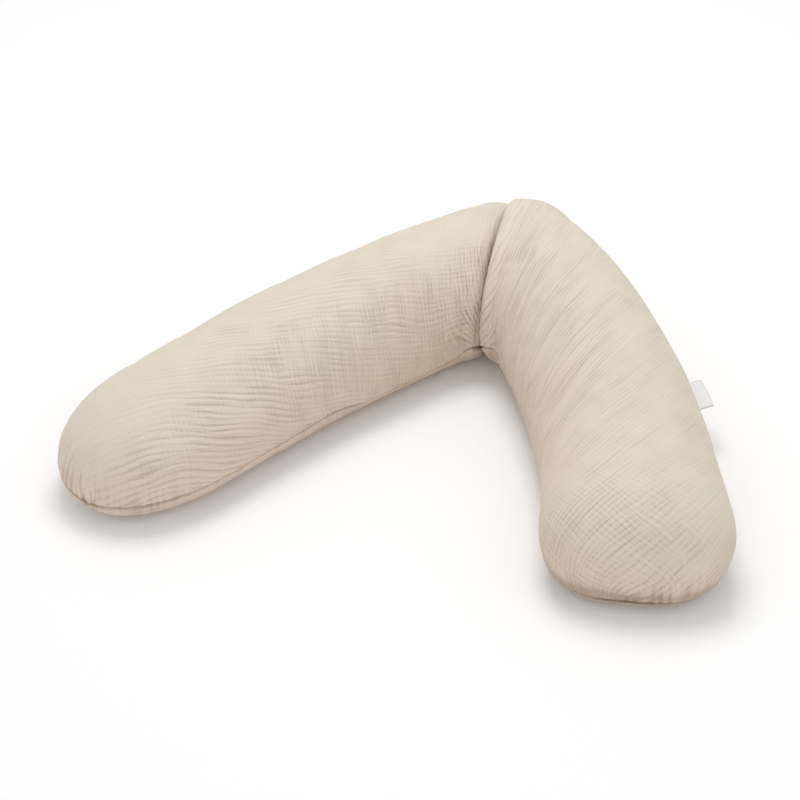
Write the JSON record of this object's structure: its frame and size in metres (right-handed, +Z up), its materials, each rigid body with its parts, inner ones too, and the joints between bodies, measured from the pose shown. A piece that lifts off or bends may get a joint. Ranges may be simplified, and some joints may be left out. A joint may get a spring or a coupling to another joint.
{
  "type": "pregnancy pillow",
  "caption": "Long crescent pregnancy and nursing pillow in crinkled cotton, folded over at its middle and lying flat, with a bare folded tape label in its outer seam.",
  "frame": {"origin": "on the floor, under the middle of the whole part's box", "axes": "+Z up from the face that the pillow lies on; the sharp fold is at +Y and the two arms open towards -Y; +X is to the right arm, which carries the label"},
  "size_m": [1.1122, 0.8958, 0.2372],
  "materials": {
    "cover_muslin": "crinkled double-layer cotton gauze, matte",
    "label_tape": "woven satin tape"
  },
  "bodies": {
    "root": {"filled_cover": "cover_muslin", "seam_label": "label_tape"}
  },
  "joints": []
}
